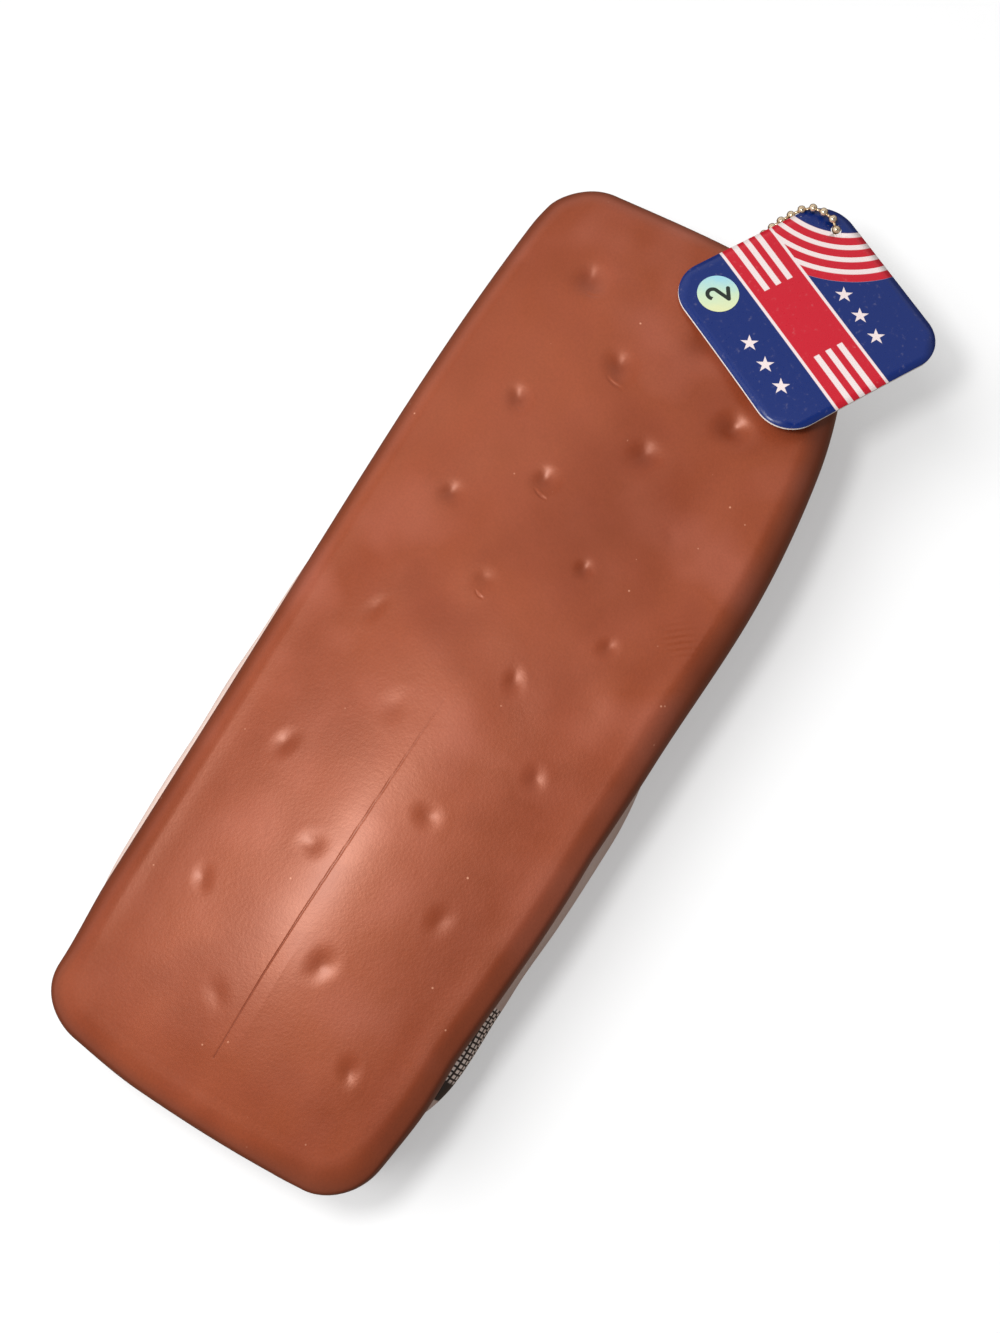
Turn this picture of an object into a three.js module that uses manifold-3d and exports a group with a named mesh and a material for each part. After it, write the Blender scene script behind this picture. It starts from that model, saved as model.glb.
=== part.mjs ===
// A squeezable foam toy in the form of an ice cream sandwich: two brown wafers with pricked faces, a
// thick pale filling that bulges out between them, and a square card tag on a ball chain at the far end.
//
// Millimetres, +Z up. X runs along the sandwich towards the tag, Y across it, and the origin is the
// middle of the flat face that the toy rests on.
import * as THREE from "three";
import { mergeVertices } from "three/addons/utils/BufferGeometryUtils.js";
import Module from "manifold-3d";

const wasm = await Module();
wasm.setup();

// ---- driving dimensions ----
const FILLING_BOTTOM = 13; // the lower wafer is this thick
const FILLING_TOP = 34; // and the filling reaches from it to the upper wafer
const TOP_RIM = 46; // level of the upper wafer's shoulder
const CROWN = 1.8; // its middle stands this far above the shoulder
const SWELL = 0.35; // height of the long soft waves in it
const SHOULDER_RADIUS = 10; // the wafers' outer edges
const LIP_RADIUS = 2; // and the edges that meet the filling
const FILLING_INSET = 4; // the filling is this much narrower where it meets a wafer
const SPINE = 88; // half the length of the line that the upper wafer's crown runs along

// An outline is a rectangle with round corners, whose long sides follow stations: [x, distance out].
const WAFER = {
  halfLength: 134.9,
  corner: 18,
  endBow: 2.6, // the ends are this much further out in their middle
  left: [
    [-135, 51],
    [-60, 51.8],
    [10, 53],
    [90, 52.8],
    [135, 50],
  ],
  // The right side is pinched at the middle and swells towards the tag.
  right: [
    [-135, 43.6],
    [-90, 47.2],
    [-40, 50.8],
    [0, 51.1],
    [46, 53.3],
    [90, 50],
    [118, 44],
    [135, 38],
  ],
};
// The filling halfway up, where it bulges most.
const FILLING = {
  halfLength: 133.4,
  corner: 22,
  endBow: 2.6,
  left: [
    [-135, 46],
    [-100, 55.4],
    [-70, 57.6],
    [20, 57.7],
    [76, 56.6],
    [112, 50.6],
    [135, 45],
  ],
  right: [
    [-135, 41.5],
    [-96, 48.8],
    [-50, 52],
    [0, 53.1],
    [40, 52],
    [80, 49.6],
    [112, 43],
    [135, 36],
  ],
};

// Dimples pricked in both wafers in staggered rows of two: [x, y, x, y].
const DIMPLE_ROWS = [
  [104, 27.4, 102, -7.3],
  [84.6, 8.2, 86.4, -26.1],
  [65.3, 26.8, 68.2, -10.3],
  [48.5, 9.2, 52, -26.7],
  [33.8, 28.5, 34.1, -12.2],
  [16.7, 9.1, 19.5, -27.8],
  [-1.5, 30, -0.5, -11],
  [-21.2, 12.4, -19, -28],
  [-43.4, 30.5, -41.8, -8.8],
  [-62, 12.1, -62.5, -26.2],
  [-83.2, 30.5, -85.8, -6.2],
  [-105.7, 11.7, -105, -26],
];
const DIMPLE_RADIUS = 3;
const DIMPLE_DEPTH = 1.2;

// The tag is a square card with round corners. It lies on the sandwich's corner and slopes down beyond it.
const TAG_SIDE = 55;
const TAG_CORNER = 10;
const TAG_THICKNESS = 0.6;
const TAG_CENTRE = [123.6, -27, 47.6];
const TAG_NORMAL = [0.156, 0.028, 0.987];
const TAG_OUTWARD = [0.869, -0.476, -0.124]; // along the card, away from the sandwich
const TAG_HOLE = { along: 22.4, across: 18.2, radius: 2.4 };
const STICKER = { along: -17.2, across: 17, radius: 5.6, thickness: 0.25 };
const CLEARANCE = 0.3; // between the sticker and the card

// The ball chain: a loop that runs through a hole pricked in the filling's end and over the tag's corner.
const BEAD_RADIUS = 1.2;
const BEAD_PITCH = 3.15;
const LINK_RADIUS = 0.45;
const CHAIN_HOLE_RADIUS = 1.9;
const CHAIN_AT_TOY = [
  [142.6, -16.4, 35],
  [139.4, -15.2, 29],
  [135, -13.8, 24.6],
  [128, -12.6, 23.6],
  [122.6, -9, 23.6],
  [127.6, -5, 23.6],
  [135, -4.2, 24.6],
  [138.4, -4, 29.6],
  [138.6, -4.2, 36],
];
// The rest of the loop in the tag's own frame: [along, across, height above its back].
const CHAIN_AT_TAG = [
  [4, 27, -2.4],
  [9, 27.8, -2],
  [14, 28.6, -1.6],
  [18.6, 29.4, 0.2],
  [21.6, 26.8, 2.3],
  [22.8, 22.8, 2.5],
  [22.6, 19.4, 1.6],
  [22.2, 17.8, -0.6],
  [20.4, 17.4, -3.4],
];

const STEPS = { corner: 7, long: 16, short: 5 }; // how finely an outline's pieces are divided; short is odd
const COLOURS = { wafer: 0xa3593d, filling: 0xf1e3d8, tag: 0x17347f, sticker: 0xcfe6d6, chain: 0xb9b2a6 };

// ---- helpers ----
function toSolid(geometry) {
  const bare = new THREE.BufferGeometry();
  bare.setAttribute("position", geometry.attributes.position);
  bare.setIndex(geometry.index);
  const welded = mergeVertices(bare, 1e-4);
  const vertProperties = new Float32Array(welded.attributes.position.array);
  const triVerts = new Uint32Array(welded.index.array);
  return new wasm.Manifold(new wasm.Mesh({ numProp: 3, vertProperties, triVerts }));
}

function toGeometry(solid) {
  const mesh = solid.getMesh();
  return new THREE.BufferGeometry()
    .setAttribute("position", new THREE.BufferAttribute(mesh.vertProperties, 3))
    .setIndex(new THREE.BufferAttribute(mesh.triVerts, 1));
}

function named(name, geometry, color, roughness, metalness = 0) {
  const facets = geometry.index ? geometry.toNonIndexed() : geometry;
  facets.computeVertexNormals();
  const mesh = new THREE.Mesh(facets, new THREE.MeshStandardMaterial({ color, roughness, metalness }));
  mesh.name = name;
  return mesh;
}

// ---- layers ----
// How far out a side stands at x, smoothly through its stations.
function sideCurve(stations) {
  const places = stations.map(([x]) => x);
  const distances = stations.map(([, distance]) => distance);
  const curve = new THREE.CubicInterpolant(places, distances, 1);
  return (x) => curve.evaluate(THREE.MathUtils.clamp(x, places[0], places.at(-1)))[0];
}

// Places round an outline, counter-clockwise, with the way inwards at each.
function sampleOutline({ halfLength, corner, endBow, left, right }) {
  const halfWidth = 50;
  const plan = new THREE.Path();
  const points = [];
  [0, 1, 2, 3].forEach((quarter) => {
    const turn = (quarter * Math.PI) / 2;
    const x = (halfLength - corner) * (quarter === 0 || quarter === 3 ? 1 : -1);
    const y = (halfWidth - corner) * (quarter < 2 ? 1 : -1);
    plan.absarc(x, y, corner, turn, turn + Math.PI / 2);
  });
  plan.closePath();
  plan.curves.forEach((piece) => {
    const straight = piece.getLength() > 2 * halfWidth ? STEPS.long : STEPS.short;
    const count = piece.isEllipseCurve ? STEPS.corner : straight;
    points.push(...piece.getPoints(count).slice(0, -1));
  });
  const sides = [sideCurve(left), sideCurve(right)];
  const bent = points.map(({ x, y }) => {
    const bow = endBow * (y / halfWidth) ** 2 * Math.sign(x) * Math.min(1, Math.abs(x) / halfLength) ** 6;
    const distance = sides[y > 0 ? 0 : 1](x);
    return new THREE.Vector3(x - bow, (y / halfWidth) * distance, 0);
  });
  return bent.map((at, i) => {
    const way = new THREE.Vector3().subVectors(bent[(i + 1) % bent.length], bent.at(i - 1)).normalize();
    return { at, inward: new THREE.Vector3(-way.y, way.x, 0) };
  });
}

function ring(samples, { inset, z }) {
  return samples.map(({ at, inward }) => at.clone().addScaledVector(inward, inset).setZ(z));
}

// A face across a ring: rungs join the points of one long side to those opposite, from end to end.
function rungFace(count) {
  const start = count - (STEPS.short + 1) / 2;
  const rungs = Array.from({ length: count / 2 }, (_, k) => [start - k, (start + 1 + k) % count]);
  return rungs.slice(1).flatMap(([right, left], k) => [
    [...rungs[k], left],
    [rungs[k][0], left, right],
  ]);
}

// A closed body through counter-clockwise rings of equal length, listed upwards.
function loft(rings) {
  const count = rings[0].length;
  const index = [];
  rings.slice(1).forEach((_, level) => {
    for (let i = 0; i < count; i++) {
      const low = level * count;
      const next = (i + 1) % count;
      index.push(low + i, low + next, low + count + next);
      index.push(low + i, low + count + next, low + count + i);
    }
  });
  const last = (rings.length - 1) * count;
  rungFace(count).forEach(([a, b, c]) => {
    index.push(a, c, b);
    index.push(last + a, last + b, last + c);
  });
  return new THREE.BufferGeometry().setFromPoints(rings.flat()).setIndex(index);
}

// A wafer's side from its outer face to the filling: a wide round shoulder, then a small round lip.
function waferProfile(outer, inner) {
  const way = Math.sign(inner - outer);
  const shoulder = [0, 1, 2, 3, 4, 5].map((k) => (k / 5) * (Math.PI / 2));
  const lip = [0, 1, 2].map((k) => (k / 2) * (Math.PI / 2));
  return [
    ...shoulder.map((turn) => ({
      inset: SHOULDER_RADIUS * (1 - Math.sin(turn)),
      z: outer + way * SHOULDER_RADIUS * (1 - Math.cos(turn)),
    })),
    ...lip.map((turn) => ({
      inset: LIP_RADIUS * (1 - Math.cos(turn)),
      z: inner - way * LIP_RADIUS * (1 - Math.sin(turn)),
    })),
  ].filter(({ z }, i, all) => i === 0 || Math.abs(z - all[i - 1].z) > 0.01);
}

// A ring on the crown, a share of the way from the shoulder to the spine.
function crownRing(shoulder, share) {
  return shoulder.map((point) => {
    const spine = new THREE.Vector3((point.x / 125) * SPINE, 0, TOP_RIM);
    const { x, y, z } = point.clone().lerp(spine, share);
    const waves = Math.sin(x / 18 + 1.1) * Math.cos(y / 16 - 0.4) + 0.6 * Math.sin(x / 31 - y / 20);
    return new THREE.Vector3(x, y, z + CROWN * (1 - (1 - share) ** 2) + SWELL * waves * share);
  });
}

// Shallow bowls to cut away at the dimples. level(x, y) is the surface's height, side its outward way.
function dimpleCutters(level, side) {
  const places = DIMPLE_ROWS.flatMap(([x, y, otherX, otherY]) => [
    [x, y],
    [otherX, otherY],
  ]);
  const bowls = places.map(([x, y]) => {
    const bowl = new THREE.SphereGeometry(1, 10, 6);
    bowl.rotateX(Math.PI / 2);
    bowl.scale(DIMPLE_RADIUS * 1.2, DIMPLE_RADIUS * 1.05, DIMPLE_DEPTH * 1.5);
    bowl.translate(x, y, level(x, y) + side * DIMPLE_DEPTH * 0.5);
    return toSolid(bowl);
  });
  return bowls.reduce((all, bowl) => all.add(bowl));
}

function topWafer() {
  const sides = waferProfile(TOP_RIM, FILLING_TOP).reverse();
  const samples = sampleOutline(WAFER);
  const rings = sides.map((step) => ring(samples, step));
  const crown = [0.12, 0.3, 0.55, 0.8].map((share) => crownRing(rings.at(-1), share));
  const body = loft([...rings, ...crown]);
  const target = new THREE.Mesh(body, new THREE.MeshBasicMaterial());
  const level = (x, y) => {
    const ray = new THREE.Raycaster(new THREE.Vector3(x, y, 200), new THREE.Vector3(0, 0, -1));
    return ray.intersectObject(target)[0].point.z;
  };
  const pricked = toSolid(body).subtract(dimpleCutters(level, 1));
  return named("wafer_top", toGeometry(pricked), COLOURS.wafer, 0.5);
}

// The lower wafer is pressed flat by the toy's weight.
function bottomWafer() {
  const samples = sampleOutline(WAFER);
  const body = loft(waferProfile(0, FILLING_BOTTOM).map((step) => ring(samples, step)));
  const pricked = toSolid(body).subtract(dimpleCutters(() => 0, -1));
  return named("wafer_bottom", toGeometry(pricked), COLOURS.wafer, 0.5);
}

// The filling bulges between the wafers, and the chain's hole is cut through its end.
function filling(chainHole) {
  const samples = sampleOutline(FILLING);
  const steps = [-1, -0.86, -0.5, 0, 0.5, 0.86, 1].map((share) => ({
    inset: FILLING_INSET * Math.abs(share) ** 2.6,
    z: (FILLING_TOP + FILLING_BOTTOM) / 2 + (share * (FILLING_TOP - FILLING_BOTTOM)) / 2,
  }));
  const body = loft(steps.map((step) => ring(samples, step)));
  return named("filling", toGeometry(toSolid(body).subtract(chainHole)), COLOURS.filling, 0.55);
}

// ---- tag ----
// The tag's own frame: X along the card away from the sandwich, Y towards its end edge, Z out of its face.
const TAG_FRAME = (() => {
  const up = new THREE.Vector3(...TAG_NORMAL).normalize();
  const along = new THREE.Vector3(...TAG_OUTWARD);
  along.addScaledVector(up, -along.dot(up)).normalize();
  const across = new THREE.Vector3().crossVectors(up, along);
  return new THREE.Matrix4().makeBasis(along, across, up).setPosition(...TAG_CENTRE);
})();

function tagCard() {
  const straight = TAG_SIDE / 2 - TAG_CORNER;
  const shape = new THREE.Shape();
  [0, 1, 2, 3].forEach((corner) => {
    const turn = (corner * Math.PI) / 2;
    const x = straight * (corner === 0 || corner === 3 ? 1 : -1);
    const y = straight * (corner < 2 ? 1 : -1);
    shape.absarc(x, y, TAG_CORNER, turn, turn + Math.PI / 2);
  });
  const hole = new THREE.Path();
  hole.absarc(TAG_HOLE.along, TAG_HOLE.across, TAG_HOLE.radius, 0, 2 * Math.PI, true);
  shape.holes.push(hole);
  const card = new THREE.ExtrudeGeometry(shape, {
    depth: TAG_THICKNESS,
    bevelEnabled: false,
    curveSegments: 8,
  });
  return named("tag", card, COLOURS.tag, 0.35);
}

function tagSticker() {
  const disc = new THREE.CylinderGeometry(STICKER.radius, STICKER.radius, STICKER.thickness, 28);
  disc.rotateX(Math.PI / 2);
  const lift = TAG_THICKNESS + CLEARANCE + STICKER.thickness / 2;
  disc.translate(STICKER.along, STICKER.across, lift);
  return named("tag_sticker", disc, COLOURS.sticker, 0.3);
}

function hangTag() {
  const group = new THREE.Group();
  group.applyMatrix4(TAG_FRAME);
  group.add(tagCard(), tagSticker());
  return group;
}

// ---- chain ----
function chainRoute() {
  const atToy = CHAIN_AT_TOY.map((point) => new THREE.Vector3(...point));
  const atTag = CHAIN_AT_TAG.map((point) => new THREE.Vector3(...point).applyMatrix4(TAG_FRAME));
  return new THREE.CatmullRomCurve3([...atToy, ...atTag], true);
}

// A tube along the loop that swells into a bead at every pitch.
function ballChain(route) {
  const stepsPerBead = 6;
  const sides = 6;
  const beads = Math.round(route.getLength() / BEAD_PITCH);
  const segments = beads * stepsPerBead;
  const tube = new THREE.TubeGeometry(route, segments, 1, sides, true);
  const { position } = tube.attributes;
  const spot = new THREE.Vector3();
  for (let i = 0; i < position.count; i++) {
    const step = Math.floor(i / (sides + 1)) % segments;
    const centre = route.getPointAt(step / segments);
    const off = ((step % stepsPerBead) / stepsPerBead - 0.5) * BEAD_PITCH;
    const radius = Math.max(LINK_RADIUS, Math.sqrt(Math.max(0, BEAD_RADIUS ** 2 - off ** 2)));
    spot.fromBufferAttribute(position, i).sub(centre).multiplyScalar(radius).add(centre);
    position.setXYZ(i, spot.x, spot.y, spot.z);
  }
  return named("ball_chain", toGeometry(toSolid(tube)), COLOURS.chain, 0.25, 1);
}

const route = chainRoute();
// A wider tube along the same loop, to cut the chain's way through the filling.
const chainHole = toSolid(new THREE.TubeGeometry(route, 110, CHAIN_HOLE_RADIUS, 8, true));
const toy = new THREE.Group();
toy.add(bottomWafer(), filling(chainHole), topWafer(), hangTag(), ballChain(route));

export default toy;
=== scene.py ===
"""A squeezable foam toy in the form of an ice cream sandwich, with a card tag on a ball chain.

Lengths are in millimetres until a mesh is made, in the frame of the CAD model: +X towards the end with the
tag, +Z up, the origin in the middle of the underside.
"""

import math

import bmesh
import bpy
import numpy as np
from mathutils import Matrix, Vector, geometry


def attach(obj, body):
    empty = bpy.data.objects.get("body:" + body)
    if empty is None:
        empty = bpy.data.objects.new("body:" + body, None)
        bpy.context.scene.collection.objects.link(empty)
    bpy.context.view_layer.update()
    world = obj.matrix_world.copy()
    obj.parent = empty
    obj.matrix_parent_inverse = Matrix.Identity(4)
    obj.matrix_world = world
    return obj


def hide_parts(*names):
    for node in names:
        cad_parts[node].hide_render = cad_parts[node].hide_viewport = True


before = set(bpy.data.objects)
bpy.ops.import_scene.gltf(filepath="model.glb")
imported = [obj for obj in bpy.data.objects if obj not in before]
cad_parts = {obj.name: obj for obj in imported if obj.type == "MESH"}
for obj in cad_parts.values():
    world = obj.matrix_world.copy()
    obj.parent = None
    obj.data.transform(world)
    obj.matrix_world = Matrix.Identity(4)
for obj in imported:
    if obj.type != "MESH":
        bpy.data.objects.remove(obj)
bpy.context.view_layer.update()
MM = 0.001

# ---------------------------------------------------------------- sizes, from the CAD model
# The filling's left side is a fraction of a millimetre slimmer here.
FILLING_BOTTOM, FILLING_TOP, TOP_RIM, CROWN = 13, 34, 46, 1.8
FILLING_INSET = 4  # how far in the filling's upper and lower edges curve from its widest line
LIP = 2  # the wafers' rounded edge on the side of the filling
SPINE = 88  # half the length of the line that the crowned faces rise to

WAFER = {
    "half_length": 134.9,
    "corner": 18,
    "end_bow": 2.6,
    "left": [(-135, 51), (-60, 51.8), (10, 53), (90, 52.8), (135, 50)],
    "right": [
        (-135, 43.6),
        (-90, 47.2),
        (-40, 50.8),
        (0, 51.1),
        (46, 53.3),
        (90, 50),
        (118, 44),
        (135, 38),
    ],
}
FILLING = {
    "half_length": 133.4,
    "corner": 22,
    "end_bow": 2.6,
    "left": [
        (-135, 46),
        (-100, 55.4),
        (-70, 57.4),
        (20, 57.6),
        (76, 56.6),
        (112, 50.6),
        (135, 45),
    ],
    "right": [
        (-135, 41.5),
        (-96, 48.8),
        (-50, 52),
        (0, 53.1),
        (40, 52),
        (80, 49.6),
        (112, 43),
        (135, 36),
    ],
}
SHOULDER_HEIGHT = 10

# ---------------------------------------------------------------- forms that differ from the CAD model
SHOULDER_WIDTH = {"left": 7.5, "right": 8.5, "end": 9}
TOP_CORNER = 14.5
DIMPLE_REACH = 14  # beyond this a dimple changes nothing
FAR_AWAY, DEEP_INSIDE = 1e3, 40  # stand-ins for a distance that doesn't matter
REFINE_WITHIN = (5.6, 4.3)  # the mesh is divided once within each distance of the fine relief
TOP_SETTLE = 0.3  # how far the upper face lies below the CAD model's
SOFT_WAVES = 9

# Dimples: x, y, radius, depth, length over width, and the way the length runs in degrees from +X.
DIMPLES = [
    (103.9, 27.4, 3.6, 2.2, 1.1, 70),
    (64.7, 26.9, 2.7, 1.3, 1.1, 20),
    (33.3, 28.7, 2.6, 1.0, 1, 0),
    (-3, 29.1, 2.2, 0.28, 1.8, -16),
    (-44.2, 30.1, 2.3, 0.4, 1.3, -10),
    (-83.2, 29.2, 2.1, 0.36, 1.6, 31),
    (86, 8.4, 3.2, 1.7, 1.2, 40),
    (48.9, 9.5, 2.6, 1.15, 1, 0),
    (17.7, 9, 2.4, 0.5, 1.1, 20),
    (-22.3, 11.5, 2.8, 0.2, 1.2, 0),
    (-62.2, 10.4, 2.5, 0.32, 1, 0),
    (-104.8, 11.1, 2.5, 0.2, 1.5, 40),
    (102, -7.3, 3.6, 0.9, 1, 0),
    (67.9, -9.7, 3.6, 1.4, 1, 0),
    (33.3, -11.5, 1.9, 0.75, 1, 0),
    (-1.3, -11.3, 2.2, 0.45, 1.4, 31),
    (-41.6, -10.4, 2.5, 0.42, 1, 0),
    (-86, -7.4, 2.8, 0.5, 1.2, -16),
    (86.4, -25.6, 3.4, 2.1, 1, 0),
    (52, -26.7, 2.4, 0.2, 1.4, 31),
    (18.5, -27.2, 2, 0.62, 1, 0),
    (-19.8, -28.3, 2.2, 0.5, 1.3, 31),
    (-62, -26.3, 2.5, 0.32, 1.3, -16),
    (-103.9, -26.2, 2.2, 0.52, 1.3, 31),
]
# Folds of skin beside some dimples: start x, y, end x, y, height.
FOLDS = [
    (81.4, 9.7, 80.6, 4.7, 0.26),
    (45.4, 10.3, 44.4, 6.6, 0.26),
    (13.9, 9.2, 13.1, 6.9, 0.16),
    (62.3, 26.1, 62.9, 24.1, 0.12),
    (99.8, 26.8, 100.4, 23.2, 0.16),
]
# The hairline crease's route.
CREASE = [(-14.5, 1.4), (-50, 2.7), (-78, 3.5), (-95, 3.7), (-118, 3.4)]
# Broad swells and hollows of the soft top: x, y, radius along, radius across, height.
SWELLS = [
    (46, 2, 24, 44, -1.0),
    (88, 0, 30, 40, 0.3),
    (-57, 3, 62, 18, 0.9),
    (0, -46, 16, 10, 0.5),
    (66, -34, 16, 12, -0.4),
    (100, 34, 20, 10, -0.3),
]
# Patches of fine skin wrinkles: x, y, the way across them in radians, spacing, reach, height.
WRINKLES = [
    (30, -43, 0.5, 1.7, 6, 0.05),
    (47, -36, 0.9, 1.9, 7, 0.03),
    (59, -14, 1.2, 2.2, 8, 0.03),
]

# ---------------------------------------------------------------- camera
CAMERA_AT = (-71.7, -49.4, 441.7)
CAMERA_TILT = math.radians(12)
CAMERA_TURN = math.radians(31)

camera = bpy.data.objects.new("camera", bpy.data.cameras.new("camera"))
bpy.context.scene.collection.objects.link(camera)
bpy.context.scene.camera = camera
camera.data.lens = 43
camera.data.sensor_width = 36
camera.data.clip_start = 0.01
camera.data.clip_end = 20
heading = Vector((math.cos(CAMERA_TURN), math.sin(CAMERA_TURN), 0))
look = heading * math.sin(CAMERA_TILT) - Vector((0, 0, math.cos(CAMERA_TILT)))
aside = Vector((math.sin(CAMERA_TURN), -math.cos(CAMERA_TURN), 0))
upward = aside.cross(look)
turned = Matrix((aside, upward, -look)).transposed().to_4x4()
camera.matrix_world = Matrix.Translation(Vector(CAMERA_AT) * MM) @ turned


# ---------------------------------------------------------------- mesh helpers
def to_object(name, mesh):
    thing = bpy.data.objects.new(name, mesh)
    bpy.context.scene.collection.objects.link(thing)
    mesh.polygons.foreach_set("use_smooth", [True] * len(mesh.polygons))
    return thing


def new_mesh(name, points, faces):
    """A mesh from points in millimetres."""
    mesh = bpy.data.meshes.new(name)
    mesh.from_pydata((np.asarray(points, float) * MM).tolist(), [], faces)
    mesh.update()
    return mesh


def mesh_points(mesh):
    flat = np.empty(len(mesh.vertices) * 3)
    mesh.vertices.foreach_get("co", flat)
    return flat.reshape(-1, 3) / MM


def set_points(mesh, points):
    mesh.vertices.foreach_set("co", (points * MM).ravel())
    mesh.update()


def float_attribute(mesh, name, values):
    layer = mesh.attributes.new(name, "FLOAT", "POINT")
    layer.data.foreach_set("value", np.asarray(values, np.float32))


def smooth_step(low, high, value):
    t = np.clip((value - low) / (high - low), 0, 1)
    return t * t * (3 - 2 * t)


# ---------------------------------------------------------------- outlines
def side_curve(stations):
    """A natural cubic spline through (x, distance) stations."""
    x = np.array([s[0] for s in stations], float)
    y = np.array([s[1] for s in stations], float)
    n = len(x)
    step = np.diff(x)
    system = np.zeros((n, n))
    target = np.zeros(n)
    system[0, 0] = system[-1, -1] = 1
    for i in range(1, n - 1):
        system[i, i - 1 : i + 2] = step[i - 1], 2 * (step[i - 1] + step[i]), step[i]
        target[i] = 3 * ((y[i + 1] - y[i]) / step[i] - (y[i] - y[i - 1]) / step[i - 1])
    second = np.linalg.solve(system, target)

    def at(place):
        place = np.clip(place, x[0], x[-1])
        k = np.clip(np.searchsorted(x, place) - 1, 0, n - 2)
        t = place - x[k]
        slope = (y[k + 1] - y[k]) / step[k]
        slope = slope - step[k] * (2 * second[k] + second[k + 1]) / 3
        bend = (second[k + 1] - second[k]) / (3 * step[k])
        return y[k] + slope * t + second[k] * t**2 + bend * t**3

    return at


def outline(spec, count):
    """count points round a slab, counter-clockwise from the middle of the tag's end, and the ways inwards.

    Point i and point count - i are mirror images in their x.
    """
    half_width = 50  # of the plain slab, before its sides are drawn to their curves
    half_length, corner = spec["half_length"], spec["corner"]
    flat_end = half_width - corner
    flat_side = half_length - corner
    quarter = corner * math.pi / 2
    half = 2 * (flat_end + quarter + flat_side)
    s = np.arange(count) * (2 * half / count)
    mirrored = s > half
    s = np.where(mirrored, 2 * half - s, s)
    far = s > half / 2
    s = np.where(far, half - s, s)
    turn = np.clip((s - flat_end) / corner, 0, math.pi / 2)
    x = flat_side + corner * np.cos(turn) - np.clip(s - flat_end - quarter, 0, None)
    y = np.minimum(s, flat_end) + corner * np.sin(turn)
    x = np.where(far, -x, x)
    y = np.where(mirrored, -y, y)
    reach = np.minimum(1, np.abs(x) / half_length) ** 6
    bow = spec["end_bow"] * (y / half_width) ** 2 * np.sign(x) * reach
    side = np.where(y > 0, side_curve(spec["left"])(x), side_curve(spec["right"])(x))
    points = np.stack([x - bow, y / half_width * side], 1)
    way = np.roll(points, -1, 0) - np.roll(points, 1, 0)
    way /= np.linalg.norm(way, axis=1)[:, None]
    return points, np.stack([-way[:, 1], way[:, 0]], 1)


def ring_faces(count, rings):
    """Quads between rings of count points that follow each other."""
    i = np.arange(count)
    nxt = (i + 1) % count
    faces = []
    for level in range(rings - 1):
        low = level * count
        high = low + count
        faces += np.stack([low + i, low + nxt, high + nxt, high + i], 1).tolist()
    return faces


def rungs(count, first, upwards):
    """Faces across a ring from end to end."""
    last, middle = first + count, first + count // 2
    faces = [[first, first + 1, last - 1]]
    for k in range(1, count // 2 - 1):
        faces.append([first + k, first + k + 1, last - k - 1, last - k])
    faces.append([middle - 1, middle, middle + 1])
    return faces if upwards else [f[::-1] for f in faces]


# ---------------------------------------------------------------- relief
def segment_distance(x, y, start, end):
    """Distance from points to a segment, and the share of the way along it."""
    way = np.subtract(end, start)
    t = ((x - start[0]) * way[0] + (y - start[1]) * way[1]) / (way @ way)
    t = np.clip(t, 0, 1)
    return np.hypot(x - start[0] - t * way[0], y - start[1] - t * way[1]), t


def dimple_relief(x, y, turned=0.0):
    """Soft pits, each a little uneven, all turned by one angle."""
    z = np.zeros_like(x)
    for k, (cx, cy, radius, depth, stretch, turn) in enumerate(DIMPLES):
        dx, dy = x - cx, y - cy
        near = np.hypot(dx, dy) < DIMPLE_REACH
        dx, dy = dx[near], dy[near]
        turn = math.radians(turn) + turned
        u = (dx * math.cos(turn) + dy * math.sin(turn)) / stretch**0.6
        v = (dy * math.cos(turn) - dx * math.sin(turn)) * stretch**0.4
        r = np.hypot(u, v) / radius
        angle = np.arctan2(v, u)
        r *= 1 + 0.05 * np.cos(2 * angle + 2.4 * k) + 0.03 * np.cos(3 * angle + 1.1 * k)
        pit = -0.75 * depth * np.exp(-(r**2))
        dish = -0.1 * depth * np.exp(-((r / 2.6) ** 2))
        rim = 0.05 * depth * np.exp(-(((r - 1.9) / 0.6) ** 2))
        z[near] += pit + dish + rim
    return z


def dimple_hollow(x, y):
    """How far down in a dimple a point is, 0 to 1, deeper dimples more; this sets the painted shade in the
    dimples.
    """
    share = np.zeros_like(x)
    for cx, cy, radius, depth, *_ in DIMPLES:
        far = np.hypot(x - cx, y - cy) / (radius * 0.8)
        share = np.maximum(share, min(1, depth) * np.exp(-(far**2)))
    return share


def fold_relief(x, y):
    """Narrow tucks in the skin, with a low lip on the side of the dimple."""
    z = np.zeros_like(x)
    for x0, y0, x1, y1, depth in FOLDS:
        off, share = segment_distance(x, y, (x0, y0), (x1, y1))
        length = math.hypot(x1 - x0, y1 - y0)
        way = ((y - y0) * (x1 - x0) - (x - x0) * (y1 - y0)) / length
        way = way + 0.3 * np.sin(math.pi * share)
        ends = np.where((share > 0) & (share < 1), 1, np.exp(-(off**2) / 0.12))
        ends = ends * np.sin(math.pi * np.clip(share, 0.06, 0.94)) ** 0.5
        z -= depth * ends * np.exp(-((way / 0.34) ** 2))
        z += 0.4 * depth * ends * np.exp(-(((way - 0.75) / 0.5) ** 2))
    return z


def rim_relief(inner, x, y):
    """A soft ridge along each long edge and a shallow dish inside it, by distance in from the outline."""
    sides = smooth_step(26, 40, np.abs(y)) * (1 - smooth_step(96, 122, np.abs(x)))
    place, width = np.where(y > 0, 6.2, 7), np.where(y > 0, 2.6, 3)
    ridge = np.where(y > 0, 0.17, 0.05) * np.exp(-(((inner - place) / width) ** 2))
    return sides * (ridge - 0.05 * np.exp(-(((inner - place - 6) / 4) ** 2)))


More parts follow.
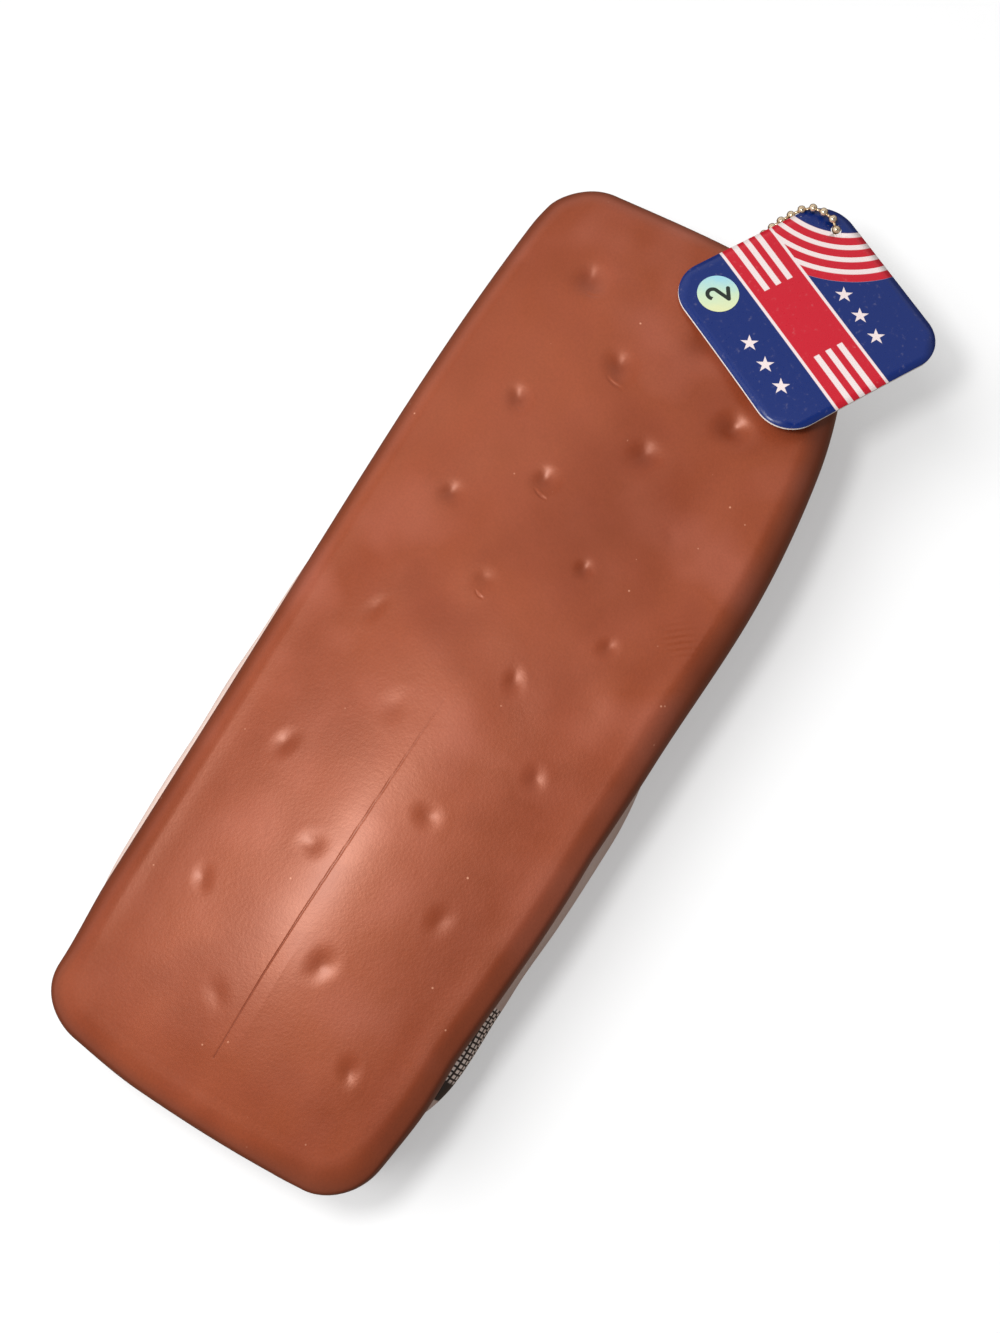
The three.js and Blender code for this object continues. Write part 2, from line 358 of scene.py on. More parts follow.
def fall_relief(x, y):
    """The near half leans down a little towards its right edge."""
    return -1.6 * smooth_step(-2, 46, -y) * (1 - smooth_step(-30, 25, x))


def crease_relief(x, y):
    """The height of a hairline groove, and how strongly its painted shade shows."""
    show = np.zeros_like(x)
    for start, end in zip(CREASE, CREASE[1:]):
        off, _ = segment_distance(x, y, start, end)
        show = np.maximum(show, np.exp(-((off / 0.14) ** 2)))
    show *= (0.6 + 0.4 * smooth_step(-112, -86, x)) * (1 - smooth_step(-50, 4, x))
    return -0.12 * show, 0.35 * show


def swell_relief(x, y):
    """Broad swells and hollows."""
    z = np.zeros_like(x)
    for cx, cy, along, across, height in SWELLS:
        z += height * np.exp(-(((x - cx) / along) ** 2) - ((y - cy) / across) ** 2)
    return z


def wave_relief(x, y):
    """Slow waves all over the skin, stronger towards the tag."""
    draw = np.random.default_rng(7)
    z = np.zeros_like(x)
    for _ in range(SOFT_WAVES):
        length = draw.uniform(17, 38)
        way = draw.uniform(0, math.pi)
        start = draw.uniform(0, 6.3)
        along = x * math.cos(way) + y * math.sin(way)
        z += np.sin(along * 2 * math.pi / length + start)
    return z * (0.01 + 0.05 * smooth_step(-40, 30, x))


def wrinkle_relief(x, y):
    """Fine skin wrinkles near the right side."""
    z = np.zeros_like(x)
    for cx, cy, turn, wave, reach, height in WRINKLES:
        u = (x - cx) * math.cos(turn) + (y - cy) * math.sin(turn)
        v = (y - cy) * math.cos(turn) - (x - cx) * math.sin(turn)
        phase = 2 * math.pi * (u + 0.02 * v**2 + 0.5 * np.sin(v / 3)) / wave
        z += height * np.sin(phase) * np.exp(-((u / reach) ** 2) - (v / reach) ** 2)
    return z


# ---------------------------------------------------------------- foam layers
def shoulder_width(points):
    """How far in a wafer's rounded edge reaches, narrower on the long sides."""
    x, y = points[:, 0], points[:, 1]
    side = np.where(y > 0, SHOULDER_WIDTH["left"], SHOULDER_WIDTH["right"])
    side = side - 1.4 * smooth_step(-20, 45, -x) * (y < 0)
    sideways = smooth_step(20, 42, np.abs(y)) * (1 - smooth_step(105, 130, np.abs(x)))
    return SHOULDER_WIDTH["end"] + (side - SHOULDER_WIDTH["end"]) * sideways


def wafer_rings(points, inward, outer, inner, steps):
    """Rings down a wafer's side, from its outer face's shoulder to its contact with the filling."""
    way = math.copysign(1, inner - outer)
    width = shoulder_width(points)[:, None]
    tight = smooth_step(104, 128, -points[:, 0])[:, None]
    rings = []
    for turn in np.linspace(0, math.pi / 2, steps):
        bulge = 1 - 0.35 * tight * math.sin(2 * turn)
        ring = points + inward * width * (1 - math.sin(turn)) * bulge
        z = outer + way * SHOULDER_HEIGHT * (1 - math.cos(turn)) * bulge[:, 0]
        rings.append(np.column_stack([ring, z]))
    if SHOULDER_HEIGHT < abs(inner - outer) - LIP - 0.2:
        rings.append(np.column_stack([points, np.full(len(points), inner - way * LIP)]))
    for turn in np.linspace(0, math.pi / 2, 6)[1:]:
        ring = points + inward * LIP * (1 - math.cos(turn))
        z = inner - way * LIP * (1 - math.sin(turn))
        rings.append(np.column_stack([ring, np.full(len(ring), z)]))
    return rings


def spine_points(count):
    """Points along the middle line, one for each pair of an outline's mirrored points."""
    i = np.arange(count // 2 + 1)
    x = SPINE * (1 - 4 * i / count)
    return np.column_stack([x, np.zeros_like(x)])


def crowned_face(shoulder, rows, height_at):
    """Rings from a shoulder in to the spine, and the spine itself; height_at gives the rise by share."""
    count = len(shoulder)
    spine = spine_points(count)[np.minimum(np.arange(count), count - np.arange(count))]
    rings = []
    for share in np.arange(1, rows) / rows:
        flat = shoulder[:, :2] * (1 - share) + spine * share
        rings.append(np.column_stack([flat, shoulder[:, 2] + height_at(share)]))
    last = spine_points(count)
    rings.append(np.column_stack([last, np.full(len(last), shoulder[0, 2] + height_at(1))]))
    return rings


def spine_faces(count, below, first):
    """Quads from the last whole ring to the spine's points."""
    faces = []
    for i in range(count):
        j = (i + 1) % count
        here, there = (first + min(k, count - k) for k in (i, j))
        faces.append([below + i, below + j, there, here])
    return faces


def refine(mesh, reach_of, levels):
    """Divides the quads near the fine relief; reach_of gives each point's distance to it."""
    body = bmesh.new()
    body.from_mesh(mesh)
    for reach in levels:
        flat = np.array([v.co for v in body.verts]) / MM
        near = reach_of(flat[:, 0], flat[:, 1], flat[:, 2]) < reach
        body.verts.ensure_lookup_table()
        edges = [e for e in body.edges if all(near[v.index] for v in e.verts)]
        bmesh.ops.subdivide_edges(body, edges=edges, cuts=1, use_grid_fill=True)
        body.verts.index_update()
    body.to_mesh(mesh)
    body.free()


def fine_places(x, y, z):
    """Distance of points on the upper face from its fine relief, with a margin for each kind."""
    away = np.full(len(x), FAR_AWAY)
    for cx, cy, radius, *_ in DIMPLES:
        away = np.minimum(away, np.hypot(x - cx, y - cy) - (radius - 2.4))
    for x0, y0, x1, y1, _ in FOLDS:
        away = np.minimum(away, segment_distance(x, y, (x0, y0), (x1, y1))[0] + 2)
    for start, end in zip(CREASE, CREASE[1:]):
        away = np.minimum(away, segment_distance(x, y, start, end)[0] + 3.2)
    away = np.minimum(away, np.hypot(x - 32, y + 43) * 0.7)  # the strongest wrinkles
    return np.where(z > TOP_RIM - 4, away, FAR_AWAY)


def edge_shift(x, y):
    """How far the upper wafer's edge stands out past the CAD model's outline."""
    shift = 1.3 * smooth_step(22, 42, -y) * (1 - smooth_step(90, 125, x))
    shift = shift * (1 - 1.4 * smooth_step(0, 45, -x))
    near_right = smooth_step(80, 104, -x) * (1 - 0.7 * smooth_step(104, 126, -x))
    shift = shift + 1.5 * near_right * smooth_step(10, 30, -y)
    shift = np.maximum(shift, 0.3 * smooth_step(112, 132, -x))
    far_left = smooth_step(112, 130, x) * smooth_step(-10, 40, y)
    near_left = smooth_step(96, 122, -x) * smooth_step(16, 44, y)
    return shift - 1.6 * far_left - 1.4 * near_left


def top_relief(x, y, inner):
    """All the relief of the upper face, by place and by distance in from the outline."""
    fine = dimple_relief(x, y) + fold_relief(x, y) + crease_relief(x, y)[0] + wrinkle_relief(x, y)
    soft = (swell_relief(x, y) + wave_relief(x, y)) * smooth_step(6, 20, inner)
    return fine + soft + rim_relief(inner, x, y) + fall_relief(x, y)


def top_wafer():
    count, rows = 720, 42
    points, inward = outline({**WAFER, "corner": TOP_CORNER}, count)
    x, y = points.T
    points = points - inward * edge_shift(x, y)[:, None]
    side = wafer_rings(points, inward, TOP_RIM, FILLING_TOP, 15)[::-1]
    crown = crowned_face(side[-1], rows, lambda t: CROWN * (1 - (1 - t) ** 2))
    rings = side + crown[:-1]
    faces = ring_faces(count, len(rings)) + rungs(count, 0, False)
    last = (len(rings) - 1) * count
    faces += spine_faces(count, last, last + count)
    everything = np.concatenate(rings + crown[-1:])
    mesh = new_mesh("wafer_top_foam", everything, faces)
    spot = np.concatenate([np.tile(points, (len(rings), 1)), points[: count // 2 + 1]])
    inner = np.linalg.norm(everything[:, :2] - spot, axis=1)
    inner[len(rings) * count :] = DEEP_INSIDE
    float_attribute(mesh, "inner", inner)
    refine(mesh, fine_places, REFINE_WITHIN)

    flat = mesh_points(mesh)
    x, y, z = flat.T
    inner = np.empty(len(flat), np.float32)
    mesh.attributes["inner"].data.foreach_get("value", inner)
    inside = smooth_step(TOP_RIM - 5, TOP_RIM - 0.3, z)
    flat[:, 2] += inside * (top_relief(x, y, inner) - TOP_SETTLE)
    set_points(mesh, flat)
    # painted shade: edge darkens the rounded edge down to the filling, reaching further in on the right
    # side, which lies in shade
    reach = 5 + 4.5 * smooth_step(10, 35, -y)
    edge = np.clip(1 - inner / reach, 0, 1) ** 1.1 * smooth_step(FILLING_TOP, TOP_RIM, flat[:, 2])
    float_attribute(mesh, "edge", edge)
    # painted shade along the crease
    float_attribute(mesh, "groove", crease_relief(x, y)[1] * inside)
    # painted shade in the dimples
    float_attribute(mesh, "pit", dimple_hollow(x, y) * inside)
    return to_object("wafer_top_foam", mesh)


def bottom_wafer():
    count, rows = 560, 30
    points, inward = outline(WAFER, count)
    side = wafer_rings(points, inward, 0, FILLING_BOTTOM, 12)
    crown = crowned_face(side[0], rows, lambda t: 0)
    rings = crown[:-1][::-1] + side
    spine = [crown[-1]]
    faces = ring_faces(count, len(rings)) + rungs(count, (len(rings) - 1) * count, True)
    faces += [f[::-1] for f in spine_faces(count, 0, len(rings) * count)]
    mesh = new_mesh("wafer_bottom_foam", np.concatenate(rings + spine), faces)
    flat = mesh_points(mesh)
    x, y, z = flat.T
    under = 1 - smooth_step(0.2, 3, z)
    flat[:, 2] -= under * np.minimum(0, dimple_relief(x, -y, 0.5))
    set_points(mesh, flat)
    return to_object("wafer_bottom_foam", mesh)


def filling_give(x, y):
    """How far in from the CAD model's outline the filling's side lies."""
    right = 2.4 * smooth_step(-30, 10, x) - 1 + 1.5 * smooth_step(25, 80, -x)
    right = right - 1.5 * smooth_step(74, 92, -x) * (1 - smooth_step(94, 110, -x))
    right = right + 0.8 * smooth_step(100, 114, -x)
    return 0.35 + right * smooth_step(10, 40, -y) + 1.3 * smooth_step(10, 40, y)


def filling_body():
    count, rows = 720, 25
    points, inward = outline(FILLING, count)
    give = filling_give(points[:, 0], points[:, 1])
    middle = (FILLING_TOP + FILLING_BOTTOM) / 2
    half = (FILLING_TOP - FILLING_BOTTOM) / 2
    along = np.arange(count) / count * 2 * math.pi
    rings = []
    for turn in np.linspace(-1, 1, rows):
        share = math.sin(turn * math.pi / 2)
        wave = 0.25 * np.sin(9 * along + 2 * share) + 0.2 * np.sin(23 * along - 3 * share)
        inset = give + FILLING_INSET * abs(share) ** 2.6 + wave * (1 - abs(share))
        ring = points + inward * inset[:, None]
        rings.append(np.column_stack([ring, np.full(count, middle + half * share)]))
    faces = ring_faces(count, rows) + rungs(count, 0, False)
    faces += rungs(count, (rows - 1) * count, True)
    mesh = new_mesh("filling_foam", np.concatenate(rings), faces)
    return to_object("filling_foam", mesh)


# ---------------------------------------------------------------- tag
TAG_SIDE, TAG_CORNER, TAG_THICKNESS = 55, 10, 0.6
TAG_CENTRE = Vector((123.6, -27, 47.6))
TAG_UP = Vector((0.156, 0.028, 0.987)).normalized()
TAG_ALONG = Vector((0.869, -0.476, -0.124))
TAG_ALONG = (TAG_ALONG - TAG_UP * TAG_ALONG.dot(TAG_UP)).normalized()
TAG_ACROSS = TAG_UP.cross(TAG_ALONG)
TAG_BOW = 0.5
TAG_HOLE = (22.4, 18.2, 1.5)  # along, across, radius, which is 2.4 in the CAD model
STICKER = (-17.2, 17, 5.6)
STICKER_FROM, STICKER_TO = 0.03, 0.14  # its back and its face, above the card


def on_tag(flat):
    """Points (along, across, height above the back) of the tag's own frame, in the model's."""
    flat = np.asarray(flat, float)
    a, b, lift = flat.T
    bow = TAG_BOW * ((b / 27) ** 2 * (a / 27) - (a / 27) ** 2)
    axes = np.array([TAG_ALONG, TAG_ACROSS, TAG_UP])
    return np.column_stack([a, b, lift + bow]) @ axes + np.array(TAG_CENTRE)


def arc(cx, cy, radius, start, end, steps):
    turn = np.radians(np.linspace(start, end, steps + 1))
    return np.column_stack([cx + radius * np.cos(turn), cy + radius * np.sin(turn)])


def in_hole(spot, holes):
    """Whether a spot lies in one of the round holes, each given as a loop of points."""
    for hole in holes:
        middle = hole.mean(0)
        if np.hypot(*(middle - spot)) <= np.hypot(*(hole[0] - middle)) * 0.97:
            return True
    return False


def flat_plate(border, holes, grid):
    """Points and triangles of a flat plate, with a grid of inner points so that it can bend."""
    loops = [border] + holes
    points = [tuple(p) for loop in loops for p in loop]
    edges, start = [], 0
    for loop in loops:
        n = len(loop)
        edges += [(start + i, start + (i + 1) % n) for i in range(n)]
        start += n
    outer = np.array(points)
    half = np.abs(border).max() + abs(border.mean(0)).max()
    for gx in np.arange(-half, half, grid):
        for gy in np.arange(-half, half, grid):
            if np.hypot(*(outer - (gx, gy)).T).min() > grid * 0.45:
                points.append((gx, gy))
    made = geometry.delaunay_2d_cdt([Vector(p) for p in points], edges, [], 1, 1e-6)
    flat = np.array(made[0])
    faces = [list(face) for face in made[2] if not in_hole(flat[face].mean(0), holes)]
    used = sorted({i for f in faces for i in f})
    index = {old: new for new, old in enumerate(used)}
    return flat[used], [[index[i] for i in f] for f in faces]


def plate_mesh(name, border, holes, grid, low, high):
    """A thin plate in the tag's frame between two heights, with its flat places as print coordinates.

    The second result says what each face is: 0 for the upper side, 1 for the back, 2 for the cut edge.
    """
    flat, faces = flat_plate(border, holes, grid)
    n = len(flat)
    rim = dict.fromkeys((i, j) for f in faces for i, j in zip(f, f[1:] + f[:1]))
    walls = [[i, j] for i, j in rim if (j, i) not in rim]
    solid = [[n + i for i in f] for f in faces] + [f[::-1] for f in faces]
    solid += [[i, j, n + j, n + i] for i, j in walls]
    layers = [np.column_stack([flat, np.full(n, z)]) for z in (low, high)]
    mesh = new_mesh(name, on_tag(np.concatenate(layers)), solid)
    kinds = [0] * len(faces) + [1] * len(faces) + [2] * len(walls)
    uv = mesh.uv_layers.new(name="UVMap")
    both = np.concatenate([flat, flat]) / TAG_SIDE + 0.5
    corners = np.empty(len(mesh.loops), int)
    mesh.loops.foreach_get("vertex_index", corners)
    uv.data.foreach_set("uv", both[corners].ravel())
    return mesh, kinds


def card_tag():
    c = TAG_SIDE / 2 - TAG_CORNER
    corners = ((c, c, 0), (-c, c, 90), (-c, -c, 180), (c, -c, 270))
    border = np.concatenate([arc(x, y, TAG_CORNER, turn, turn + 90, 16) for x, y, turn in corners])
    hole = arc(*TAG_HOLE, 0, 360, 36)[:-1]
    mesh, kinds = plate_mesh("tag_card", border, [hole], 2.5, 0, TAG_THICKNESS)
    mesh.polygons.foreach_set("material_index", kinds)
    thing = to_object("tag_card", mesh)
    for polygon, kind in zip(mesh.polygons, kinds):
        polygon.use_smooth = kind != 2
    return thing


def round_sticker():
    border = arc(*STICKER, 0, 360, 64)[:-1]
    low, high = TAG_THICKNESS + STICKER_FROM, TAG_THICKNESS + STICKER_TO
    mesh, kinds = plate_mesh("sticker", border, [], 2.0, low, high)
    thing = to_object("sticker", mesh)
    for polygon, kind in zip(mesh.polygons, kinds):
        polygon.use_smooth = kind == 1
    return thing


# ---------------------------------------------------------------- chain
BEAD_RADIUS, BEAD_PITCH, LINK_RADIUS = 1.2, 3.15, 0.4
# The loop's route, at the toy in the model's frame and then along, across and above the back of the tag.
# Over the tag it lies up to 1.8 mm from the CAD model's.
CHAIN_AT_TOY = [
    (142.6, -16.4, 35),
    (139.4, -15.2, 29),
    (135, -13.8, 24.6),
    (128, -12.6, 23.6),
    (122.6, -9, 23.6),
    (127.6, -5, 23.6),
    (135, -4.2, 24.6),
    (138.4, -4, 29.6),
    (138.6, -4.2, 36),
]
CHAIN_AT_TAG = [
    (2, 26.8, -2.4),
    (7.6, 28.2, -1.8),
    (12.2, 28.8, -1.2),
    (16, 28.5, -0.2),
    (19.2, 27.4, 1.4),
    (21.2, 24.4, 2.3),
    (22.6, 21.4, 2),
    (22.6, 19, 1.2),
    (22.4, 18, -0.8),
    (20.4, 17.4, -3.4),
]


def closed_curve(points, per_span):
    """A closed centripetal spline through points."""
    points = np.asarray(points, float)
    n = len(points)
    out = []
    for i in range(n):
        p0, p1, p2, p3 = (points[(i + k) % n] for k in (-1, 0, 1, 2))
        t0, t1, t2 = (np.linalg.norm(b - a) ** 0.5 for a, b in ((p0, p1), (p1, p2), (p2, p3)))
        m1 = ((p1 - p0) / t0 - (p2 - p0) / (t0 + t1) + (p2 - p1) / t1) * t1
        m2 = ((p2 - p1) / t1 - (p3 - p1) / (t1 + t2) + (p3 - p2) / t2) * t1
        bend = 3 * (p2 - p1) - 2 * m1 - m2
        twist = 2 * (p1 - p2) + m1 + m2
        for t in np.arange(per_span) / per_span:
            out.append(p1 + m1 * t + bend * t**2 + twist * t**3)
    return np.array(out + out[:1])


def bead_centres():
    axes = np.array([TAG_ALONG, TAG_ACROSS, TAG_UP])
    upper = np.array(CHAIN_AT_TAG) @ axes + np.array(TAG_CENTRE)
    path = closed_curve(np.concatenate([CHAIN_AT_TOY, upper]), 60)
    along = np.concatenate([[0], np.cumsum(np.linalg.norm(np.diff(path, axis=0), axis=1))])
    count = round(along[-1] / BEAD_PITCH)
    places = (np.arange(count) + 0.5) / count * along[-1]
    return np.column_stack([np.interp(places, along, path[:, k]) for k in range(3)])


def ball_chain():
    """Beads that are a little flat where they meet, joined by short pins."""
    flat_beyond, flat_share = 1.05, 0.93
    pin = (BEAD_PITCH - 2 * BEAD_RADIUS + 0.5) * MM
    body = bmesh.new()
    centres = bead_centres()
    for here, there in zip(centres, np.roll(centres, -1, 0)):
        way = Vector(there - here)
        turn = way.to_track_quat("Z", "Y").to_matrix().to_4x4()
        spot = Vector(here) * MM
        bead = bmesh.ops.create_uvsphere(
            body,
            u_segments=20,
            v_segments=14,
            radius=BEAD_RADIUS * MM,
            matrix=Matrix.Translation(spot) @ turn,
        )
        for v in bead["verts"]:
            if abs((v.co - spot).dot(way.normalized())) / MM > flat_beyond:
                v.co = spot + (v.co - spot) * flat_share
        bmesh.ops.create_cone(
            body,
            cap_ends=True,
            segments=10,
            radius1=LINK_RADIUS * MM,
            radius2=LINK_RADIUS * MM,
            depth=pin,
            matrix=Matrix.Translation(Vector(here + there) / 2 * MM) @ turn,
        )
    mesh = bpy.data.meshes.new("chain_beads")
    body.to_mesh(mesh)
    body.free()
    return to_object("chain_beads", mesh)


# ---------------------------------------------------------------- materials
def rgb(*display):
    """A colour given as 0-255 display values, in linear light."""
    linear = (((c / 255 + 0.055) / 1.055) ** 2.4 if c > 10 else c / 3294.6 for c in display)
    return (*linear, 1)


def grey(value):
    return (value, value, value, 1)


class Net:
    """A node tree, with short names for the few kinds of node in use."""

    def __init__(self, owner):
        owner.use_nodes = True
        self.tree = owner.node_tree

    def node(self, kind, inputs=(), **settings):
        made = self.tree.nodes.new("ShaderNode" + kind)
        for key, value in settings.items():
            setattr(made, key, value)
        for key, value in dict(inputs).items():
            self.put(made.inputs[key], value)
        return made

    def put(self, socket, value):
        if isinstance(value, bpy.types.NodeSocket):
            self.tree.links.new(value, socket)
        else:
            socket.default_value = value

    def object_place(self):
        return self.node("TexCoord").outputs["Object"]

    def parts_of(self, vector, scale=1):
        """The x, y and z of a vector, each times a scale."""
        split = self.node("SeparateXYZ", {0: vector})
        return [self.times(split.outputs[k], scale) for k in range(3)]

    def attribute(self, name):
        return self.node("Attribute", attribute_name=name).outputs["Fac"]

    def math(self, operation, *values):
        made = self.node("Math", operation=operation)
        for socket, value in zip(made.inputs, values):
            self.put(socket, value)
        return made.outputs[0]

    def plus(self, a, b):
        return self.math("ADD", a, b)

    def minus(self, a, b):
        return self.math("SUBTRACT", a, b)

    def over(self, a, b):
        return self.math("DIVIDE", a, b)

    def times(self, first, *others):
        for other in others:
            first = self.math("MULTIPLY", first, other)
        return first

    def largest(self, first, *others):
        for other in others:
            first = self.math("MAXIMUM", first, other)
        return first

    def smallest(self, first, *others):
        for other in others:
            first = self.math("MINIMUM", first, other)
        return first

    def hypot(self, a, b):
        return self.math("SQRT", self.plus(self.times(a, a), self.times(b, b)))

    def off_middle(self, value, pitch):
        """Distance from the middle of the cell that a value lies in, as a share of the pitch."""
        return self.math("ABSOLUTE", self.minus(self.math("FRACT", self.over(value, pitch)), 0.5))

    def noise(self, where, scale, detail=2.0, roughness=0.5):
        inputs = {"Vector": where, "Scale": scale, "Detail": detail, "Roughness": roughness}
        return self.node("TexNoise", inputs).outputs["Fac"]

    def cells(self, where, scale):
        """Distance from the nearest of a scatter of points."""
        return self.node("TexVoronoi", {"Vector": where, "Scale": scale}).outputs["Distance"]

    def ramp(self, value, *stops):
        made = self.node("ValToRGB", {"Fac": value})
        points = made.color_ramp.elements
        while len(points) < len(stops):
            points.new(0.5)
        for point, (place, colour) in zip(points, stops):
            point.position = place
            point.color = colour
        return made.outputs["Color"]

    def level(self, value, low, high, start=0.0, end=1.0):
        """From start to end as a value goes from low to high."""
        return self.node("MapRange", {0: value, 1: low, 2: high, 3: start, 4: end}).outputs[0]

    def within(self, value, centre, reach, soft):
        """1 where a value is within reach of a centre."""
        off = self.math("ABSOLUTE", self.minus(value, centre))
        return self.level(off, reach - soft, reach + soft, 1, 0)

    def between(self, value, low, high, soft):
        """1 where a value is between low and high."""
        above = self.level(value, low - soft, low + soft)
        return self.times(above, self.level(value, high - soft, high + soft, 1, 0))

    def patch(self, x, y, centre, reach):
        """1 at a centre, falling to 0 at an ellipse of the given half-widths."""
        a, b = (
            self.over(self.minus(value, middle), half)
            for value, middle, half in zip((x, y), centre, reach)
        )
        return self.level(self.hypot(a, b), 0, 1, 1, 0)

    def stroke(self, x, y, start, end):
        """Distance from a straight stroke."""
        dx, dy = end[0] - start[0], end[1] - start[1]
        px, py = self.minus(x, start[0]), self.minus(y, start[1])
        dot = self.plus(self.times(px, dx), self.times(py, dy))
        share = self.level(dot, 0, dx * dx + dy * dy)
        return self.hypot(
            self.minus(px, self.times(share, dx)), self.minus(py, self.times(share, dy))
        )

    def mix(self, share, first, second):
        made = self.node("Mix", data_type="RGBA")
        for place, value in ((0, share), (6, first), (7, second)):
            self.put(made.inputs[place], value)
        return made.outputs[2]

    def bump(self, height, strength, distance, normal=None):
        made = self.node("Bump", {"Height": height, "Strength": strength, "Distance": distance})
        if normal is not None:
            self.put(made.inputs["Normal"], normal)
        return made.outputs["Normal"]


class Skin(Net):
    """A material's nodes, and its shader."""

    def __init__(self, name):
        self.material = bpy.data.materials.new(name)
        super().__init__(self.material)
        self.shader = self.tree.nodes["Principled BSDF"]

    def set(self, **values):
        for key, value in values.items():
            self.put(self.shader.inputs[key.replace("_", " ")], value)


# Painted shade: places where the wafer's skin is darkened to stand for shade: centre, half-widths,
# strength, colour.
PAINTED_SHADE_PATCHES = [
    ((46, -12), (34, 24), 1, rgb(106, 44, 22)),
    ((-84, 44), (46, 18), 0.8, rgb(104, 42, 18)),
    ((-68, -34), (58, 20), 0.8, rgb(104, 42, 20)),
]


def wafer_colour(net, where, broad, blotch):
    """Chocolate brown, cloudy and finely grained, paler on the far left where light is painted, darker in
    patches of painted shade.
    """
    x, y, _ = net.parts_of(where, 1000)
    brown = ((0.3, rgb(114, 50, 28)), (0.5, rgb(121, 55, 31)), (0.72, rgb(127, 60, 35)))
    colour = net.ramp(broad, *brown)
    haze = net.noise(where, 34, 2)
    colour = net.mix(net.level(haze, 0.5, 0.66, 0, 0.9), colour, rgb(134, 69, 50))
    colour = net.mix(net.level(haze, 0.46, 0.32, 0, 0.6), colour, rgb(108, 44, 22))
    # painted light: a paler patch on the far left, where more light falls
    painted_light_far_left = net.times(net.patch(x, y, (58, 34), (46, 38)), net.level(broad, 0.25, 0.6, 0.5, 1))
    colour = net.mix(painted_light_far_left, colour, rgb(138, 71, 47))
    # painted shade: darker patches on the near left, near right and right of the middle on the far half
    for centre, reach, strength, shade_colour in PAINTED_SHADE_PATCHES:
        colour = net.mix(net.times(net.patch(x, y, centre, reach), strength), colour, shade_colour)
    tint = net.ramp(blotch, (0.35, grey(0)), (0.75, grey(1)))
    colour = net.mix(net.times(tint, 0.25), colour, rgb(126, 58, 42))
    shade = net.level(net.noise(where, 1700, 2), 0.3, 0.7, 0.94, 1.05)
    colour = net.node("VectorMath", {0: colour, "Scale": shade}, operation="SCALE").outputs[0]
    lucky = net.level(net.noise(where, 160, 1), 0.58, 0.62)
    speck = net.times(net.level(net.cells(where, 230), 0.08, 0.04), lucky)
    return net.mix(net.times(speck, 0.45), colour, rgb(226, 170, 140))


def wafer_marks(net, where, colour):
    """Painted shade: a dark line in the crease, and darker dimples and edges."""
    x, y, _ = net.parts_of(where, 1000)
    # painted shade: the crease's groove and hairline are darkened
    colour = net.mix(net.times(net.attribute("groove"), 0.42), colour, rgb(88, 34, 22))
    strokes = [net.stroke(x, y, start, end) for start, end in zip(CREASE, CREASE[1:])]
    line = net.level(net.smallest(*strokes), 0.05, 0.2, 1, 0)
    line = net.times(line, net.level(x, -16, -50, 0.2, 1), 0.6)
    colour = net.mix(line, colour, rgb(84, 30, 18))
    # painted shade in the dimples
    colour = net.mix(net.times(net.attribute("pit"), 0.3), colour, rgb(84, 34, 20))
    # painted shade on the rounded edges, widest on the right side
    return net.mix(net.times(net.attribute("edge"), 0.74), colour, rgb(66, 28, 14))


def wafer_material():
    net = Skin("wafer_foam_skin")
    where = net.object_place()
    broad = net.noise(where, 22, 3)
    blotch = net.noise(where, 90, 4, 0.6)
    fine = net.bump(net.noise(where, 1300, 2, 0.6), 0.1, 0.0003)
    net.set(
        Base_Color=wafer_marks(net, where, wafer_colour(net, where, broad, blotch)),
        Roughness=net.level(blotch, 0.3, 0.75, 0.36, 0.41),
        Specular_IOR_Level=0.64,
        Specular_Tint=(1, 0.5, 0.35, 1),
        Coat_Weight=0.085,
        Coat_Roughness=0.26,
        Normal=net.bump(net.noise(where, 300, 3), 0.025, 0.001, fine),
    )
    return net.material


# The dark printed block on the filling's right side, with rows of short pale dashes beside a plain bar.
BLOCK_X, BLOCK_Z = (-86.5, 13.5), (25, 8.5)  # middle and half-width
BAR_END = -94.5
DASH_PITCH, ROW_PITCH = 1.5, 2.1


def side_print(net, where, colour):
    x, y, z = net.parts_of(where, 1000)
    block = net.times(net.within(x, *BLOCK_X, 0.2), net.within(z, *BLOCK_Z, 0.2))
    block = net.times(block, net.level(y, -20, -21))
    row = net.math("FLOOR", net.over(z, ROW_PITCH))
    # a sine of the row's number starts each row at its own place
    shift = net.math("FRACT", net.times(net.math("SINE", net.times(row, 12.9)), 43.7))
    along = net.off_middle(net.plus(net.over(x, DASH_PITCH), shift), 1)
    tall = net.off_middle(z, ROW_PITCH)
    dash = net.times(net.level(along, 0.3, 0.34, 1, 0), net.level(tall, 0.3, 0.34, 1, 0))
    dash = net.times(dash, net.level(x, BAR_END - 0.5, BAR_END + 0.5))
    return net.mix(block, colour, net.mix(dash, rgb(44, 34, 30), rgb(240, 222, 212)))


def filling_material():
    net = Skin("filling_foam_skin")
    where = net.object_place()
    broad = net.noise(where, 35, 3)
    cream = ((0.3, rgb(204, 179, 169)), (0.6, rgb(215, 192, 182)), (0.8, rgb(211, 184, 173)))
    lucky = net.level(net.noise(where, 240, 1), 0.55, 0.6)
    pore = net.times(net.level(net.cells(where, 620), 0.16, 0.06), lucky)
    colour = net.mix(net.times(pore, 0.35), net.ramp(broad, *cream), rgb(160, 138, 124))
    net.set(
        Base_Color=side_print(net, where, colour),
        Roughness=net.level(broad, 0.3, 0.7, 0.5, 0.6),
        Subsurface_Weight=0.08,
        Subsurface_Radius=(0.004, 0.003, 0.002),
        Subsurface_Scale=1.0,
        Normal=net.bump(net.noise(where, 420, 4, 0.6), 0.2, 0.0005),
    )
    return net.material


